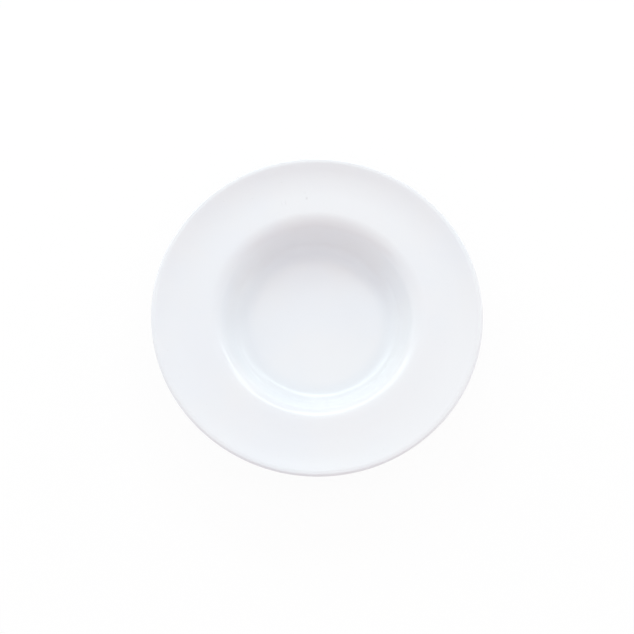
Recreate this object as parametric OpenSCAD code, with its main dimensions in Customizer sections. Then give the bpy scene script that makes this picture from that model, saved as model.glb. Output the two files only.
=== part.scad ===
// Rimmed soup plate: a fired porcelain body with a bare foot ring, under three coats of glaze.
// Origin: centre of the foot ring, on the table. +Z is up.
// The overall diameter and height are over the glaze, and the other sizes are those of the fired body.

/* [Plate] */
// Overall diameter
plate_d = 240; // [200:1:300]

/* [Well] */
// Diameter at which the lines of the wall and of the rim cross
well_d = 144; // [129:1:175]
// Diameter at which the lines of the floor and of the wall cross
floor_d = 117; // [92:1:131]
// Height of the first crossing over the second
well_depth = 23; // [17:0.5:32]
// Radius of the bend from the floor into the wall
floor_bend = 15; // [6:0.5:22]
// Radius of the bend from the wall into the rim
edge_bend = 14; // [4:0.5:19]

/* [Rim] */
// Thickness of the rim and of the round of its lip
rim_t = 3; // [2.4:0.1:4.4]
// Slope of the rim beside the well, in degrees
rim_slope = 2; // [0:0.5:6]
// Height of the lip over the edge of the well
rim_rise = 6.5; // [4:0.5:12]
// Share of the width of the rim that lies inside its upward turn
rim_turn_at = 0.62; // [0.45:0.01:0.7]
// Share of the shorter side that the bend of that turn takes up
rim_turn_part = 0.75; // [0.2:0.05:0.85]
// Width of the level land on top of the lip
lip_land = 1.6; // [0.8:0.1:2.4]
// Radius of the bend from the outer rim into that land
land_bend = 3; // [1:0.5:4]

/* [Base] */
// Thickness of the wall
wall_t = 4.4; // [3.6:0.1:5.2]
// Thickness of the floor
base_t = 5; // [4:0.1:7]

/* [Foot ring] */
// Distance of its outer edge outside the line of the floor's corner
foot_step = 2.5; // [1:0.1:5]
// Width of the foot ring at the table
foot_w = 5; // [4:0.1:8]
// Height of its outer side
foot_out_h = 5.2; // [4:0.1:6]
// Height of the recess inside the foot ring
foot_h = 3; // [2.6:0.1:5]
// Lean of the sides of the foot ring, in degrees
foot_lean = 10; // [4:1:18]
// Radius of the bends where the foot ring leaves the wall and the base
foot_root = 1.4; // [0.8:0.1:1.6]
// Radius of the edges of the foot ring
foot_edge = 1; // [0.4:0.1:1.2]

/* [Glaze] */
// Thickness of the glaze
glaze_t = 0.3; // [0.2:0.05:0.5]
// Height to which the sides of the foot ring are wiped bare
bare_h = 1.2; // [1.1:0.1:1.4]

/* [Hidden] */
$fn = 180;
// Degrees between the points of a bend
arc_step = 3;
// Shares of the wall that the bends at its foot and at its edge may take up
floor_share = 0.55;
edge_share = 0.42;
// Share of the level land that the bend beside it may take up
land_share = 0.9;
porcelain = [0.90, 0.89, 0.86];
glaze = [0.93, 0.94, 0.95];

// Heights and radii that follow from the sizes
floor_z = foot_h + base_t;
well_z = floor_z + well_depth;
plate_h = well_z + rim_rise;
floor_r = floor_d / 2;
well_r = well_d / 2;
turn_r = well_r + rim_turn_at * (plate_d / 2 - well_r);
foot_r = floor_r + foot_step;
wall_slope = atan2(well_depth, well_r - floor_r);
wall_len = norm([well_depth, well_r - floor_r]);

// Radii of the two bends of the wall, which leave room for each other
floor_bend_r = min(floor_bend, floor_share * wall_len / tan(wall_slope / 2));
edge_bend_r = min(edge_bend, edge_share * wall_len / tan((wall_slope - rim_slope) / 2));

// Unit vector along a heading, and the one to its left
function along(a) = [cos(a), sin(a)];
function left(a) = [-sin(a), cos(a)];

// Heading from one point to another
function heading(p, q) = atan2(q[1] - p[1], q[0] - p[0]);

// Crossing of two lines, each with a point and a heading
function crossing(p, a, q, b) = p + along(a) * cross(q - p, along(b)) / cross(along(a), along(b));

// A path is a list of corners, each with a radius from the axis, a height and the radius of its bend.
// Change of heading at corner i of a path, above zero to the left
function change(path, i) =
    let (d = heading(path[i], path[i + 1]) - heading(path[i - 1], path[i]))
    d > 180 ? d - 360 : d < -180 ? d + 360 : d;

// Points round the bend at corner i
function bend(path, i) =
    let (
        a = heading(path[i - 1], path[i]),
        t = change(path, i),
        r = path[i][2] * sign(t),
        start = [path[i][0], path[i][1]] - along(a) * r * tan(t / 2),
        centre = start + left(a) * r,
        steps = max(1, ceil(abs(t) / arc_step))
    )
    [for (k = [0:steps]) centre - left(a + t * k / steps) * r];

// Points along a whole path, with every inner corner bent
function trace(path) =
    let (n = len(path) - 1)
    [
        [path[0][0], path[0][1]],
        for (i = [1:n - 1]) each bend(path, i),
        [path[n][0], path[n][1]]
    ];

// The path moved to its left by d, with its bends about the same centres
function coat(path, d) =
    let (n = len(path) - 1)
    [
        for (i = [0:n])
            let (
                a = heading(path[max(i - 1, 0)], path[max(i, 1)]),
                t = i == 0 || i == n ? 0 : change(path, i),
                p = [path[i][0], path[i][1]] + left(a + t / 2) * d / cos(t / 2)
            )
            [p[0], p[1], path[i][2] - sign(t) * d]
    ];

// The points in the other order
function back(points) = [for (i = [len(points) - 1:-1:0]) points[i]];

// Corners of the face
floor_corner = [floor_r, floor_z];
well_corner = [well_r, well_z];
turn_corner = [turn_r, well_z + (turn_r - well_r) * tan(rim_slope)];

// The lip is rounded about this centre, and the outer rim runs up to the level land beside it
lip_r = rim_t / 2;
lip_c = [plate_d / 2 - glaze_t - lip_r, plate_h - glaze_t - lip_r];
land_corner = [lip_c[0] - lip_land, lip_c[1] + lip_r];
lip_slope = heading(turn_corner, land_corner);
land_bend_r = min(land_bend, land_share * lip_land / tan(lip_slope / 2));

// The round turns from the land to the slope of the underside, one half above its tip and one below
lip_turn = (180 - lip_slope) / 2;
lip_reach = lip_r / cos(lip_turn / 2);
lip_top = lip_c + along(90 - lip_turn / 2) * lip_reach;
lip_tip = lip_c + along(90 - lip_turn) * lip_r;
lip_low = lip_c + along(90 - lip_turn * 3 / 2) * lip_reach;

// The bend of the upward turn fits the shorter of the two sides that it leaves straight
edge_reach = edge_bend_r * tan((wall_slope - rim_slope) / 2);
inner_side = norm(turn_corner - well_corner) - edge_reach;
outer_side = norm(land_corner - turn_corner) - land_bend_r * tan(lip_slope / 2);
rim_turn = rim_turn_part * min(inner_side, outer_side) / tan((lip_slope - rim_slope) / 2);

// Corners of the underside, which keep the thickness of the rim and, below it, of the wall
turn_low = crossing(lip_low, lip_slope, well_corner - left(rim_slope) * rim_t, rim_slope);
wall_low = well_corner - left(wall_slope) * wall_t;
well_low = crossing(turn_low, rim_slope, wall_low, wall_slope);

// Corners of the foot ring and of its recess
foot_out = [foot_r, 0];
foot_in = [foot_r - foot_w, 0];
foot_top = crossing(foot_out, 90 - foot_lean, [0, foot_out_h], 0);
recess = crossing(foot_in, 90 + foot_lean, [0, foot_h], 0);
bare_out = crossing(foot_out, 90 - foot_lean, [0, bare_h], 0);
bare_in = crossing(foot_in, 90 + foot_lean, [0, bare_h], 0);

// A corner with its bend
function corner(p, r) = [p[0], p[1], r];

face_path = [
    corner([0, floor_z], 0),
    corner(floor_corner, floor_bend_r),
    corner(well_corner, edge_bend_r),
    corner(turn_corner, rim_turn),
    corner(land_corner, land_bend_r),
    corner(lip_top, lip_r),
    corner(lip_tip, 0)
];
back_path = [
    corner(lip_tip, 0),
    corner(lip_low, lip_r),
    corner(turn_low, rim_turn + rim_t),
    corner(well_low, edge_bend_r),
    corner(foot_top, foot_root),
    corner(bare_out, 0)
];
foot_path = [
    corner(bare_out, 0),
    corner(foot_out, foot_edge),
    corner(foot_in, foot_edge),
    corner(bare_in, 0)
];
base_path = [
    corner(bare_in, 0),
    corner(recess, foot_root),
    corner([0, foot_h], 0)
];

// Body with the floor, the wall, the rim and the foot ring
module porcelain_body() {
    color(porcelain)
        rotate_extrude()
            polygon(concat(trace(face_path), trace(back_path), trace(foot_path), trace(base_path)));
}

// One coat of glaze over a stretch of the body
module glaze_coat(path) {
    color(glaze)
        rotate_extrude()
            polygon(concat(trace(coat(path, glaze_t)), back(trace(path))));
}

// Coat on the eating face, out to the tip of the lip
module face_glaze() {
    glaze_coat(face_path);
}

// Coat on the underside, from the tip of the lip down to the foot ring
module back_glaze() {
    glaze_coat(back_path);
}

// Coat on the base inside the foot ring
module base_glaze() {
    glaze_coat(base_path);
}

porcelain_body();
face_glaze();
back_glaze();
base_glaze();
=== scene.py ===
# %% [markdown]
# A rimmed soup plate of white glazed porcelain
#
# A soup plate is turned on a wheel from one lump of clay, fired, dipped in glaze and fired again.
# Every part of it is therefore round about one axis, and a few lines drawn in a section say it all.
# This lesson draws those sections, turns each into a solid, and then spends its care on the finish:
# the cool, glassy white of the glaze and the dry, pale biscuit that shows on the foot ring.
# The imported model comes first, because it fixes where everything is.

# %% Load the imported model
import math

import bpy
from mathutils import Matrix, Vector


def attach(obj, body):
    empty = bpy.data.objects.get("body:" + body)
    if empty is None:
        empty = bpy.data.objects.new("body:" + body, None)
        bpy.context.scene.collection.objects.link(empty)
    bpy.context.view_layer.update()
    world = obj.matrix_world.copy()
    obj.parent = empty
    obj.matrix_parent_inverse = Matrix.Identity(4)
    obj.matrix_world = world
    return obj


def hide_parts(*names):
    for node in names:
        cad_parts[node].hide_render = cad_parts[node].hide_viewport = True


MM = 0.001

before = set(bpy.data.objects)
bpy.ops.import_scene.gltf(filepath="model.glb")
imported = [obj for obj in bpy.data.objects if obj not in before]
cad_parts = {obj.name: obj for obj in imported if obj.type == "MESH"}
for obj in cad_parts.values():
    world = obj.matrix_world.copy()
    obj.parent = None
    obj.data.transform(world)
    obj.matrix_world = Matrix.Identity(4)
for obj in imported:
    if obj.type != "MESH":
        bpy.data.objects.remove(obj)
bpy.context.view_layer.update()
print("nodes:", ", ".join(sorted(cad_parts)))

# %% [markdown]
# The camera
#
# The plate is seen from the front and from high up, so that its circle looks only a little flattened.
# How flat it looks gives the angle: 159 high against 166 wide is the sine of about 73 degrees.
# The whole picture also leans by a few degrees, which is put right here with a roll of the camera.
# The camera could be turned by hand until it looks right, but three axes worked out from the angle
# put it there exactly.

# %% Camera
VIEW_ELEVATION = math.radians(73.4)
VIEW_DISTANCE = 1.0
VIEW_ROLL = math.radians(3.47)
VIEW_ANGLE = math.radians(25.8)
VIEW_TARGET = Vector((0.0, -0.0037, 0.036))
VIEW_NEAREST = 0.01

forward = Vector((0, math.cos(VIEW_ELEVATION), -math.sin(VIEW_ELEVATION)))
level = Vector((1, 0, 0))
upward = level.cross(forward)
right = level * math.cos(VIEW_ROLL) + upward * math.sin(VIEW_ROLL)
above = upward * math.cos(VIEW_ROLL) - level * math.sin(VIEW_ROLL)
bpy.ops.object.select_all(action="DESELECT")
bpy.ops.object.camera_add()
camera = bpy.context.object
camera.name = "camera"
camera.matrix_world = Matrix.Translation(VIEW_TARGET - forward * VIEW_DISTANCE) @ Matrix(
    (right, above, -forward)
).transposed().to_4x4()
camera.data.sensor_fit = "HORIZONTAL"
camera.data.angle = VIEW_ANGLE
camera.data.clip_start = VIEW_NEAREST
bpy.context.scene.camera = camera
bpy.context.scene.view_settings.view_transform = "Standard"
print("camera at", [round(x, 3) for x in camera.matrix_world.translation])

# %% [markdown]
# Pencil and compass
#
# A potter's drawing of a plate is half a section: straight lines joined by bends of a given radius.
# The same can be drawn in edit mode. One point is the pencil, extruding it draws a straight line,
# and spinning it about a centre draws an arc, as a pair of compasses does.
# Bevelling the corners would be quicker, but a bevel is a true arc only at a right angle.
# Each section is a list of corners, and each corner has a distance from the axis, a height and the
# radius of its bend, all in millimetres.

# %% Helpers that measure a section
def at(point):
    """A point of the drawing, in metres, on the plane through the axis."""
    return Vector((point[0] * MM, 0, point[1] * MM))


def heading(a, b):
    """Angle of the way from one point to another."""
    return math.atan2(b[1] - a[1], b[0] - a[0])


def along(angle):
    """A step of one millimetre on a heading."""
    return Vector((math.cos(angle), math.sin(angle)))


def to_the_left(angle):
    """A step of one millimetre to the left of a heading."""
    return Vector((-math.sin(angle), math.cos(angle)))


def crossing(p, p_way, q, q_way):
    """The point where two lines cross, each with a point and a heading."""
    share = (q - p).cross(along(q_way)) / along(p_way).cross(along(q_way))
    return p + along(p_way) * share


def turn_at(path, i):
    """Change of heading at corner i, where a turn to the left is above zero."""
    change = heading(path[i], path[i + 1]) - heading(path[i - 1], path[i])
    return (change + math.pi) % (2 * math.pi) - math.pi


# %% Helpers that draw a section
LINE_STEP = 6.0
SHORTEST_LINE = 0.0001
# Share of a step that a bend may be over, so that 80 degrees in steps of 5 stay 16 steps
STEP_SLACK = 0.001


def pencil(name, point):
    """A new mesh of a single point, left in edit mode with that point selected."""
    bpy.ops.object.select_all(action="DESELECT")
    bpy.ops.mesh.primitive_plane_add(size=MM)
    bpy.context.object.name = bpy.context.object.data.name = name
    bpy.ops.object.mode_set(mode="EDIT")
    bpy.ops.mesh.merge(type="CENTER")
    bpy.ops.transform.translate(value=at(point))


def line(start, end):
    """Extrudes the pencil point straight from start to end, in short steps."""
    way = at(end) - at(start)
    if way.length < SHORTEST_LINE * MM:
        return
    steps = math.ceil(way.length / (LINE_STEP * MM))
    for _ in range(steps):
        bpy.ops.mesh.extrude_region_move(TRANSFORM_OT_translate={"value": way / steps})


def draw(path, arc_step):
    """Draws a whole path, from its first corner to its last, with bends in steps of some degrees."""
    here = Vector(path[0][:2])
    for i in range(1, len(path) - 1):
        corner, radius, turn = Vector(path[i][:2]), path[i][2], turn_at(path, i)
        if radius == 0:
            line(here, corner)
            here = corner
            continue
        way = heading(path[i - 1], path[i])
        side = math.copysign(radius, turn)
        start = corner - along(way) * radius * math.tan(abs(turn) / 2)
        centre = start + to_the_left(way) * side
        line(here, start)
        steps = math.ceil(abs(turn) / math.radians(arc_step) - STEP_SLACK)
        bpy.ops.mesh.spin(steps=max(1, steps), angle=turn, center=at(centre), axis=(0, 1, 0))
        here = centre - to_the_left(way + turn) * side
    line(here, path[-1])


# %% [markdown]
# From section to solid
#
# On the wheel the clay turns past the template, and here the section turns about the axis instead.
# The spin operator makes a full turn in small steps. Points on the axis are then doubled many times,
# so doubles are merged before the normals are set to point outwards.
# Smoothing by angle keeps the few true edges, where a coat of glaze stops.

# %% Helper that turns a section
ROUND_STEPS = 256
SHARP_ANGLE = math.radians(40)
SAME_PLACE = 1e-7


def turn_on_the_wheel():
    """Spins the drawn section into a closed solid and returns its object, in object mode."""
    bpy.ops.mesh.select_all(action="SELECT")
    bpy.ops.mesh.remove_doubles(threshold=SAME_PLACE)
    bpy.ops.mesh.spin(steps=ROUND_STEPS, angle=math.tau, center=(0, 0, 0), axis=(0, 0, 1))
    bpy.ops.mesh.select_all(action="SELECT")
    bpy.ops.mesh.remove_doubles(threshold=SAME_PLACE)
    bpy.ops.mesh.normals_make_consistent(inside=False)
    bpy.ops.object.mode_set(mode="OBJECT")
    bpy.ops.object.shade_smooth_by_angle(angle=SHARP_ANGLE)
    piece = bpy.context.object
    box = [round(x / MM, 2) for x in piece.dimensions]
    print(piece.name, "has", len(piece.data.polygons), "faces and measures", box, "mm")
    return piece


# %% [markdown]
# The sizes of the fired body
#
# The body is one piece of porcelain: a floor 5 mm thick, a wall that leans out at 60 degrees, a broad
# rim that starts almost level and then turns up, a rounded lip with a narrow level land on top, and a
# foot ring underneath.
# A potter writes only a few sizes beside the drawing, and every corner follows from them. This cell
# holds those sizes. Radii are measured from the axis, and the plate's own radius is over the glaze.

# %% Sizes of the body
GLAZE = 0.3
PLATE_RADIUS = 120.0
WELL_RADIUS = 72.0
WELL_DEPTH = 23.0
EDGE_BEND = 14.0
FLOOR_RADIUS = 58.5
FLOOR_BEND = 15.0
FLOOR_THICKNESS = 5.0
WALL_THICKNESS = 4.4
RIM_THICKNESS = 3.0
RIM_SLOPE = math.radians(2)
RIM_RISE = 6.5
# Share of the rim's width inside its upward turn, and share of the shorter side that its bend takes up
RIM_TURN_AT = 0.62
RIM_TURN_PART = 0.75
LIP_LAND = 1.6
LAND_BEND = 3.0
FOOT_RADIUS = 61.0
FOOT_WIDTH = 5.0
FOOT_LEAN = math.radians(10)
# Heights of the ring's outer side, of the recess inside it and of the part that is wiped bare
FOOT_SIDE = 5.2
FOOT_RECESS = 3.0
FOOT_BARE = 1.2
FOOT_ROOT_BEND = 1.4
FOOT_EDGE_BEND = 1.0

# %% [markdown]
# The section of the fired body
#
# Most corners are where two lines cross. The lip is almost a half round from the land to the underside,
# drawn as two bends that meet at its tip, because one coat of glaze ends there and the next begins.
# The section is one closed line, here in four stretches that the coats of glaze need again.

# %% Corners of the face
floor_corner = Vector((FLOOR_RADIUS, FOOT_RECESS + FLOOR_THICKNESS))
well_corner = Vector((WELL_RADIUS, floor_corner.y + WELL_DEPTH))
wall_slope = heading(floor_corner, well_corner)
rim_inside = RIM_TURN_AT * (PLATE_RADIUS - WELL_RADIUS)
turn_corner = well_corner + Vector((1, math.tan(RIM_SLOPE))) * rim_inside

lip_radius = RIM_THICKNESS / 2
lip_inset = GLAZE + lip_radius
lip_centre = Vector((PLATE_RADIUS - lip_inset, well_corner.y + RIM_RISE - lip_inset))
land_corner = lip_centre + Vector((-LIP_LAND, lip_radius))
lip_slope = heading(turn_corner, land_corner)
half_turn = (math.pi - lip_slope) / 2
lip_reach = lip_radius / math.cos(half_turn / 2)
lip_top = lip_centre + along(math.pi / 2 - half_turn / 2) * lip_reach
lip_tip = lip_centre + along(math.pi / 2 - half_turn) * lip_radius

inner_side = (turn_corner - well_corner).length - EDGE_BEND * math.tan((wall_slope - RIM_SLOPE) / 2)
outer_side = (land_corner - turn_corner).length - LAND_BEND * math.tan(lip_slope / 2)
rim_bend = RIM_TURN_PART * min(inner_side, outer_side) / math.tan((lip_slope - RIM_SLOPE) / 2)
print("wall slope", round(math.degrees(wall_slope), 1), "lip slope", round(math.degrees(lip_slope), 1))

# %% Corners of the underside and of the foot ring
lip_low = lip_centre + along(math.pi / 2 - half_turn * 3 / 2) * lip_reach
rim_low = well_corner - to_the_left(RIM_SLOPE) * RIM_THICKNESS
turn_low = crossing(lip_low, lip_slope, rim_low, RIM_SLOPE)
wall_low = well_corner - to_the_left(wall_slope) * WALL_THICKNESS
well_low = crossing(turn_low, RIM_SLOPE, wall_low, wall_slope)

foot_out = Vector((FOOT_RADIUS, 0))
foot_in = Vector((FOOT_RADIUS - FOOT_WIDTH, 0))
# The way up each leaning side of the ring, for one millimetre of height
out_side = Vector((math.tan(FOOT_LEAN), 1))
in_side = Vector((-math.tan(FOOT_LEAN), 1))
bare_out = foot_out + out_side * FOOT_BARE
bare_in = foot_in + in_side * FOOT_BARE

# %% Section of the body
BODY_STEP = 5.0

face_line = [
    (0.0, floor_corner.y, 0.0),
    (*floor_corner, FLOOR_BEND),
    (*well_corner, EDGE_BEND),
    (*turn_corner, rim_bend),
    (*land_corner, LAND_BEND),
    (*lip_top, lip_radius),
    (*lip_tip, 0.0),
]
back_line = [
    (*lip_tip, 0.0),
    (*lip_low, lip_radius),
    (*turn_low, rim_bend + RIM_THICKNESS),
    (*well_low, EDGE_BEND),
    (*(foot_out + out_side * FOOT_SIDE), FOOT_ROOT_BEND),
    (*bare_out, 0.0),
]
foot_line = [
    (*bare_out, 0.0),
    (*foot_out, FOOT_EDGE_BEND),
    (*foot_in, FOOT_EDGE_BEND),
    (*bare_in, 0.0),
]
base_line = [
    (*bare_in, 0.0),
    (*(foot_in + in_side * FOOT_RECESS), FOOT_ROOT_BEND),
    (0.0, FOOT_RECESS, 0.0),
]

pencil("fired_body", face_line[0])
draw(face_line + back_line[1:] + foot_line[1:] + base_line[1:], BODY_STEP)
fired_body = turn_on_the_wheel()

# %% [markdown]
# The coats of glaze
#
# Glaze melts into a glassy skin about 0.3 mm thick that follows the body everywhere, except on the
# foot ring, which is wiped bare so that the plate doesn't stick to the kiln shelf.
# A coat is drawn as its outer line, the body's line moved out by that thickness, and back again
# along the body. Where it stops at the foot ring, surface tension leaves a rounded edge.

# %% Helpers that draw a coat
GLAZE_STEP = 2.0
GLAZE_EDGE = 0.26


def moved_out(path, distance):
    """The path moved to its left, with its bends about the same centres."""
    out = []
    last = len(path) - 1
    for i, (radius, height, bend) in enumerate(path):
        turn = 0.0 if i in (0, last) else turn_at(path, i)
        way = heading(path[max(i - 1, 0)], path[max(i, 1)])
        place = Vector((radius, height)) + to_the_left(way + turn / 2) * distance / math.cos(turn / 2)
        out.append((*place, bend - math.copysign(distance, turn) if turn else 0.0))
    return out


def coat(name, path, start_edge=0.0, end_edge=0.0):
    """A closed coat of glaze along a stretch of the body, with rounded edges where they are given."""
    outer = moved_out(path, GLAZE)
    start = (*outer[0][:2], start_edge)
    end = (*outer[-1][:2], end_edge)
    ring = [*outer[1:-1], end, *reversed(path)]
    if start_edge:
        halfway = (*Vector(outer[0][:2]).lerp(Vector(outer[1][:2]), 0.5), 0.0)
        ring = [halfway, *ring, start, halfway]
    elif path[0][0] > 0:
        ring = [start, *ring, start]
    else:
        ring = [start, *ring]
    pencil(name, ring[0])
    draw(ring, GLAZE_STEP)
    return turn_on_the_wheel()


# %% Coats on the face, the back and the base
glaze_on_face = coat("glaze_on_face", face_line)
glaze_on_back = coat("glaze_on_back", back_line, end_edge=GLAZE_EDGE)
glaze_on_base = coat("glaze_on_base", base_line, start_edge=GLAZE_EDGE)

# %% [markdown]
# Where the sponge wiped
#
# The foot ring is wiped with a wet sponge before the glaze is fired, and no hand wipes a perfect line.
# The edge of the glaze therefore wanders up by a few tenths of a millimetre and down again.
# Only the lowest rings of points of the two lower coats belong to that edge, so they go into a vertex
# group, and a soft cloud pattern lifts that group alone. Moving points by hand would look less even.

# %% Wandering edge of the glaze
EDGE_TOP = 1.6
EDGE_LIFT = 0.6
EDGE_WAVE = 14.0


def wipe(piece):
    """Lifts the lower edge of a coat by an uneven amount."""
    bpy.ops.object.select_all(action="DESELECT")
    piece.select_set(True)
    bpy.context.view_layer.objects.active = piece
    low = [point.index for point in piece.data.vertices if point.co.z < EDGE_TOP * MM]
    group = piece.vertex_groups.new(name="wiped_edge")
    group.add(low, 1.0, "REPLACE")
    sponge = bpy.data.textures.new("sponge", "CLOUDS")
    sponge.noise_scale = EDGE_WAVE * MM
    lift = piece.modifiers.new("wiped", "DISPLACE")
    lift.texture = sponge
    lift.texture_coords = "LOCAL"
    lift.direction = "Z"
    lift.mid_level = 0.0
    lift.strength = EDGE_LIFT * MM
    lift.vertex_group = group.name
    bpy.ops.object.modifier_apply(modifier=lift.name)
    heights = [piece.data.vertices[i].co.z / MM for i in low]
    print(piece.name, "stops between", round(min(heights), 2), "and", round(max(heights), 2), "mm up")


wipe(glaze_on_back)
wipe(glaze_on_base)

# %% [markdown]
# Mixing a finish
#
# A finish is a small graph of nodes: patterns in, colour, roughness and relief out. All patterns sit
# on the object's own coordinates, so they stay with the plate wherever it goes, and nothing is read
# from a picture. Small helpers keep the graphs short. One adds a node and wires it in one go, and
# another turns a value into a soft step, which is how most of the patterns are trimmed to size.
# Those coordinates are in metres, and so are places, radii and heights in the finishes. Only the sizes
# of patches and the depths of reliefs are given in millimetres.

# %% Helpers that add nodes
def new_finish(name):
    """A new material, with its tree and the socket of the object's own coordinates."""
    finish = bpy.data.materials.new(name)
    finish.use_nodes = True
    tree = finish.node_tree
    return finish, tree, tree.nodes.new("ShaderNodeTexCoord").outputs["Object"]


def node(tree, kind, inputs, output=0, **settings):
    """Adds a node with its settings and inputs, sockets or constants, and returns one output."""
    made = tree.nodes.new(kind)
    for key, value in settings.items():
        setattr(made, key, value)
    for key, value in inputs.items():
        if isinstance(value, bpy.types.NodeSocket):
            tree.links.new(value, made.inputs[key])
        else:
            made.inputs[key].default_value = value
    return made.outputs[output]


def shader(tree):
    """The inputs of the finish's surface."""
    return tree.nodes["Principled BSDF"].inputs


# %% Helpers that mix patterns
def step(tree, value, start, end, low=0.0, high=1.0):
    """A soft step of a value, from low before start to high after end."""
    inputs = {"Value": value, "From Min": start, "From Max": end, "To Min": low, "To Max": high}
    return node(tree, "ShaderNodeMapRange", inputs, interpolation_type="SMOOTHSTEP")


def times(tree, a, b):
    """The product of two values."""
    return node(tree, "ShaderNodeMath", {0: a, 1: b}, operation="MULTIPLY")


def larger(tree, a, b):
    """The larger of two values."""
    return node(tree, "ShaderNodeMath", {0: a, 1: b}, operation="MAXIMUM")


def blend(tree, share, a, b):
    """A colour between a and b."""
    return node(tree, "ShaderNodeMix", {0: share, 6: a, 7: b}, output=2, data_type="RGBA")


def noise(tree, place, size, detail=2.0):
    """Cloudy noise with patches of about the given size in millimetres."""
    inputs = {"Vector": place, "Scale": 1.0 / (size * MM), "Detail": detail}
    return node(tree, "ShaderNodeTexNoise", inputs)


def relief(tree, height, depth, under=None):
    """A relief of the given depth in millimetres, on top of another one."""
    inputs = {"Height": height, "Strength": 1.0, "Distance": depth * MM}
    if under is not None:
        inputs["Normal"] = under
    return node(tree, "ShaderNodeBump", inputs)


def length_of(tree, place):
    """Distance of a place from the middle of its coordinates."""
    return node(tree, "ShaderNodeVectorMath", {0: place}, output=1, operation="LENGTH")


def radius_of(tree, place):
    """Distance of a place from the axis of the plate, in metres."""
    flat = node(tree, "ShaderNodeVectorMath", {0: place, 1: (1, 1, 0)}, operation="MULTIPLY")
    return length_of(tree, flat)


# %% [markdown]
# White glaze
#
# Porcelain glaze is a clear glass full of tiny bubbles over a white body, and it looks white with a
# faint blue cast. It isn't even: it is cloudy by a percent or so, it gathers at the foot of the wall,
# where it is a little deeper in colour, and a few dust-sized specks of iron come up through it.
# Its surface is glossy but not flat. It has very long, low waves from the dipping and a fine skin
# like that of an orange, and both make the reflections of the studio a little soft and uneven.

# %% Colour of the glaze
GLAZE_COOL = (0.812, 0.842, 0.878, 1)
GLAZE_PLAIN = (0.828, 0.848, 0.870, 1)
GLAZE_DEEP = (0.790, 0.828, 0.868, 1)
CLOUD_SIZE = 70
CLOUD_DETAIL = 3.0
POOL_RADIUS = 0.054
POOL_WIDTH = 0.010
SPECK = (0.42, 0.39, 0.35, 1)
SPECK_STRENGTH = 0.7
# Cells per metre, the share of a cell that a speck and its soft edge reach, and how few cells have one
SPECK_CELLS = 95.0
SPECK_CORE, SPECK_EDGE = 0.008, 0.018
SPECK_NONE, SPECK_SOME = 0.86, 0.88


def glaze_colour(tree, place, gathered):
    """Cloudy white, with deeper colour where the glaze gathers and a few specks."""
    cloud = step(tree, noise(tree, place, CLOUD_SIZE, CLOUD_DETAIL), 0.35, 0.65)
    colour = blend(tree, cloud, GLAZE_COOL, GLAZE_PLAIN)
    radius = radius_of(tree, place)
    inner = step(tree, radius, POOL_RADIUS - POOL_WIDTH, POOL_RADIUS)
    outer = step(tree, radius, POOL_RADIUS, POOL_RADIUS + POOL_WIDTH, 1.0, 0.0)
    pool = times(tree, times(tree, inner, outer), gathered)
    colour = blend(tree, pool, colour, GLAZE_DEEP)
    cells = {"Vector": place, "Scale": SPECK_CELLS}
    near = node(tree, "ShaderNodeTexVoronoi", cells, voronoi_dimensions="2D")
    which = node(tree, "ShaderNodeTexVoronoi", cells, output=1, voronoi_dimensions="2D")
    few = step(tree, node(tree, "ShaderNodeSeparateColor", {0: which}), SPECK_NONE, SPECK_SOME)
    speck = times(tree, step(tree, near, SPECK_CORE, SPECK_EDGE, SPECK_STRENGTH, 0.0), few)
    return blend(tree, speck, colour, SPECK)


# %% Surface of the glaze
GLAZE_IOR = 1.5
GLOSS_PATCH = 30
GLOSS_BEST, GLOSS_WORST = 0.17, 0.23
WAVE_SIZE, WAVE_DEPTH = 28, 0.05
SKIN_SIZE, SKIN_DEPTH = 3.2, 0.005


def glaze_gloss(tree, place):
    """A roughness that changes a little from place to place."""
    return step(tree, noise(tree, place, GLOSS_PATCH), 0.3, 0.7, GLOSS_BEST, GLOSS_WORST)


def glaze_skin(tree, place):
    """Long low waves under a fine orange skin."""
    waves = relief(tree, noise(tree, place, WAVE_SIZE, 1.0), WAVE_DEPTH)
    return relief(tree, noise(tree, place, SKIN_SIZE, 1.0), SKIN_DEPTH, waves)


# %% [markdown]
# Small marks on the face
#
# The far side of the rim has two pinholes, where bubbles burst in the kiln, and two faint strokes that
# cutlery or a stack left behind. Each is an ellipse: the coordinates are moved to its middle, turned
# and divided by its half sizes, and where their length is below one, the mark is.
# They could be tiny dents, but at half a millimetre only their tone can be seen.
# Each row of the table has a mark's middle, its turn in degrees, its half sizes and its strength.

# %% Finish of the face
POOL_ON_FACE = 0.8
MARK_TONE = (0.55, 0.55, 0.57, 1)
MARK_CORE = 0.3
# Height of the rim where the marks are, and how far up and down they reach through the glaze
MARK_HEIGHT, MARK_REACH = 0.033, 0.008
MARKS = (
    ("pinhole", (-0.0130, 0.0891), 4, (0.0013, 0.0017), 0.28),
    ("smaller pinhole", (-0.0145, 0.0931), 4, (0.0008, 0.0010), 0.14),
    ("stroke", (-0.0284, 0.0843), 13, (0.0007, 0.0030), 0.17),
    ("second stroke", (-0.0314, 0.0838), 19, (0.0006, 0.0032), 0.11),
)

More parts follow.
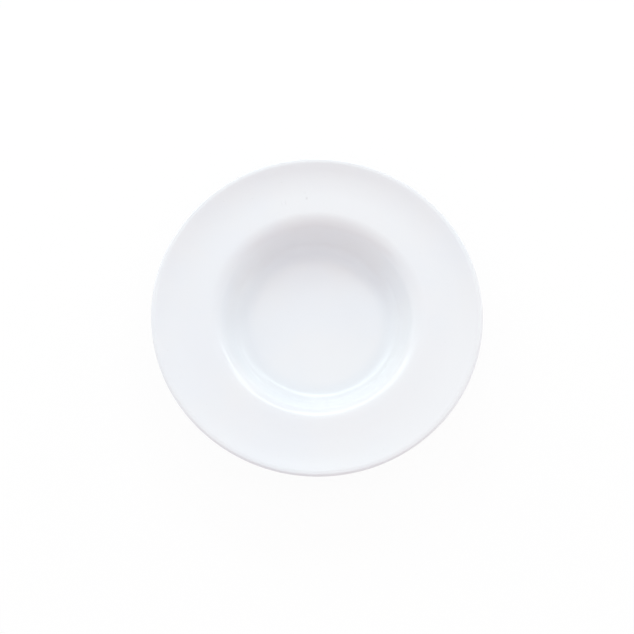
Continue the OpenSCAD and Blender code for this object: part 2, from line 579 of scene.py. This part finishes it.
face_finish, tree, place = new_finish("glaze on the face")
colour = glaze_colour(tree, place, POOL_ON_FACE)
for mark, middle, turn, half_sizes, strength in MARKS:
    ellipse = {
        "Vector": place,
        "Location": (*middle, MARK_HEIGHT),
        "Rotation": (0, 0, math.radians(turn)),
        "Scale": (*half_sizes, MARK_REACH),
    }
    moved = node(tree, "ShaderNodeMapping", ellipse, vector_type="TEXTURE")
    share = step(tree, length_of(tree, moved), MARK_CORE, 1.0, strength, 0.0)
    colour = blend(tree, share, colour, MARK_TONE)
    print(mark, "at", middle)
tree.links.new(colour, shader(tree)["Base Color"])
tree.links.new(glaze_gloss(tree, place), shader(tree)["Roughness"])
tree.links.new(glaze_skin(tree, place), shader(tree)["Normal"])
shader(tree)["IOR"].default_value = GLAZE_IOR
print("face finish has", len(tree.nodes), "nodes")

# %% [markdown]
# The underside
#
# Underneath, the potter's turning tool leaves fine rings in the clay, and the glaze doesn't quite fill
# them. They are a wave pattern in rings about the axis, far too shallow to model, so they are relief.
# The pattern repeats every twentieth of a full turn in radians, so its scale follows from the pitch.

# %% Finish of the underside
POOL_UNDERNEATH = 0.0
RING_PITCH = 0.0015
RING_DEPTH = 0.006
RING_WANDER, RING_WANDER_SCALE = 1.5, 0.2
WAVE_PERIOD = math.tau / 20

under_finish, tree, place = new_finish("glaze underneath")
turning = {
    "Vector": place,
    "Scale": WAVE_PERIOD / RING_PITCH,
    "Distortion": RING_WANDER,
    "Detail Scale": RING_WANDER_SCALE,
}
rings = node(tree, "ShaderNodeTexWave", turning, output=1, wave_type="RINGS", rings_direction="Z")
tree.links.new(glaze_colour(tree, place, POOL_UNDERNEATH), shader(tree)["Base Color"])
tree.links.new(glaze_gloss(tree, place), shader(tree)["Roughness"])
tree.links.new(relief(tree, rings, RING_DEPTH, glaze_skin(tree, place)), shader(tree)["Normal"])
shader(tree)["IOR"].default_value = GLAZE_IOR
print("underside finish has", len(tree.nodes), "nodes")

# %% [markdown]
# Bare porcelain
#
# The foot ring shows the fired body itself: dry, fine-grained and a little warmer than the glaze.
# The face that it stands on is rubbed grey by tables and by other plates, in patches and not evenly.

# %% Finish of the bare body
BISCUIT_LIGHT = (0.80, 0.775, 0.725, 1)
BISCUIT_DARK = (0.74, 0.705, 0.645, 1)
RUBBED = (0.52, 0.50, 0.47, 1)
RUBBED_STRENGTH = 0.6
RUBBED_HEIGHT = 0.0003
RUBBED_PATCH = 6
GRAIN_SIZE, GRAIN_DEPTH = 0.9, 0.03
FINE_DETAIL = 4.0
DRY_ROUGHNESS, RUBBED_ROUGHNESS = 0.82, 0.6

bare_finish, tree, place = new_finish("bare porcelain")
grain = noise(tree, place, GRAIN_SIZE, FINE_DETAIL)
height = node(tree, "ShaderNodeSeparateXYZ", {0: place}, output=2)
on_the_table = step(tree, height, 0.0, RUBBED_HEIGHT, 1.0, 0.0)
patches = step(tree, noise(tree, place, RUBBED_PATCH, FINE_DETAIL), 0.42, 0.62)
worn = times(tree, on_the_table, patches)
colour = blend(tree, step(tree, grain, 0.3, 0.7), BISCUIT_DARK, BISCUIT_LIGHT)
colour = blend(tree, times(tree, worn, RUBBED_STRENGTH), colour, RUBBED)
tree.links.new(colour, shader(tree)["Base Color"])
roughness = step(tree, worn, 0.0, 1.0, DRY_ROUGHNESS, RUBBED_ROUGHNESS)
tree.links.new(roughness, shader(tree)["Roughness"])
tree.links.new(relief(tree, grain, GRAIN_DEPTH), shader(tree)["Normal"])
print("bare finish has", len(tree.nodes), "nodes")

# %% [markdown]
# Floor
#
# The plate stands on a plain white floor in a small studio. The floor is lit like everything else, and
# to the camera and in reflections it also glows, so that it looks as white as the paper of a catalogue
# while a trace of the plate's shadow stays on it. The glow adds nothing to the light that the plate
# scatters. The floor is wide, so that its edge stays out of sight in a low view too.

# %% Floor
FLOOR_SIZE = 24.0
FLOOR_GLOW = 0.92
FLOOR_WHITE = (0.95, 0.95, 0.95, 1)
FLOOR_ROUGHNESS = 0.9

bpy.ops.object.select_all(action="DESELECT")
bpy.ops.mesh.primitive_plane_add(size=FLOOR_SIZE)
floor = bpy.context.object
floor.name = "floor"

paint, tree, _ = new_finish("white floor")
shader(tree)["Base Color"].default_value = FLOOR_WHITE
shader(tree)["Roughness"].default_value = FLOOR_ROUGHNESS
ray = tree.nodes.new("ShaderNodeLightPath").outputs
seen = larger(tree, ray["Is Camera Ray"], ray["Is Glossy Ray"])
seen = larger(tree, seen, ray["Is Transmission Ray"])
glow = node(tree, "ShaderNodeEmission", {"Strength": 1.0})
lit = tree.nodes["Principled BSDF"].outputs[0]
mixed = node(tree, "ShaderNodeMixShader", {0: times(tree, seen, FLOOR_GLOW), 1: lit, 2: glow})
tree.links.new(mixed, tree.nodes["Material Output"].inputs["Surface"])
floor.data.materials.append(paint)

# %% [markdown]
# Soft panels
#
# The far side of the well is in shade and the near side has two bright bands, so the strongest light
# stands behind the plate and low. Wide panels at the left and the right keep the sides of the well
# bright, and a wide one in front opens the shade. They are wide because small ones would draw thin
# bright lines in the bends of the well. All panels face the plate from the same distance, so a table
# is enough: angle from the back, angle from the floor, width and height in metres, and watts.
# An even, slightly warm world stands for the light that the room sends back.

# %% Lights
LIGHT_DISTANCE = 1.6
PANEL_TINT = (0.828, 1.0, 0.987)
ROOM = (0.554, 0.439, 0.453, 1)
PANELS = (
    ("behind_low", -11, 27, 0.86, 0.25, 3.55),
    ("behind_high", 12, 36, 1.04, 0.25, 3.65),
    ("behind_left_low", -40, 20, 0.68, 0.28, 2.7),
    ("behind_left_high", -38, 36, 0.51, 0.25, 1.3),
    ("behind_right_low", 40, 19, 0.68, 0.28, 2.25),
    ("left_low", -92, 13, 2.00, 0.50, 2.6),
    ("right_low", 92, 13, 2.00, 0.50, 2.4),
    ("left", -80, 26, 1.90, 1.30, 2.9),
    ("right", 80, 26, 1.90, 1.30, 2.05),
    ("left_high", -80, 54, 1.50, 1.20, 2.25),
    ("right_high", 80, 54, 1.50, 1.20, 2.9),
    ("front", 177, 52, 2.20, 1.40, 4.6),
    ("top", 0, 82, 0.86, 0.86, 1.2),
)


def panel(name, azimuth, elevation, width, height, watts):
    """A soft panel that faces the plate, at angles from the back of the plate and from the floor."""
    a, e = math.radians(azimuth), math.radians(elevation)
    place = Vector((math.cos(e) * math.sin(a), math.cos(e) * math.cos(a), math.sin(e)))
    bpy.ops.object.light_add(type="AREA", location=place * LIGHT_DISTANCE)
    lamp = bpy.context.object
    lamp.name = "panel_" + name
    lamp.rotation_euler = (-place).to_track_quat("-Z", "Y").to_euler()
    lamp.data.shape = "RECTANGLE"
    lamp.data.size, lamp.data.size_y = width, height
    lamp.data.energy = watts
    lamp.data.color = PANEL_TINT
    lamp.visible_camera = False


for row in PANELS:
    panel(*row)
world = bpy.data.worlds.new("room")
world.use_nodes = True
world.node_tree.nodes["Background"].inputs["Color"].default_value = ROOM
bpy.context.scene.world = world
print(len(PANELS), "panels,", round(sum(watts for *_, watts in PANELS), 1), "watts in all")

# %% [markdown]
# Putting it together
#
# Each piece gets its finish, hides the imported part that it stands for, and rides on the root,
# because nothing on a plate moves.

# %% Finishes and places
for piece, part, slot, finish in (
    (fired_body, "porcelain_body", "porcelain", bare_finish),
    (glaze_on_face, "face_glaze", "glaze", face_finish),
    (glaze_on_back, "back_glaze", "glaze", under_finish),
    (glaze_on_base, "base_glaze", "glaze", under_finish),
):
    piece.data.materials.append(finish)
    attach(piece, "root")
    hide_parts(part)
    print(piece.name, "stands for", part)
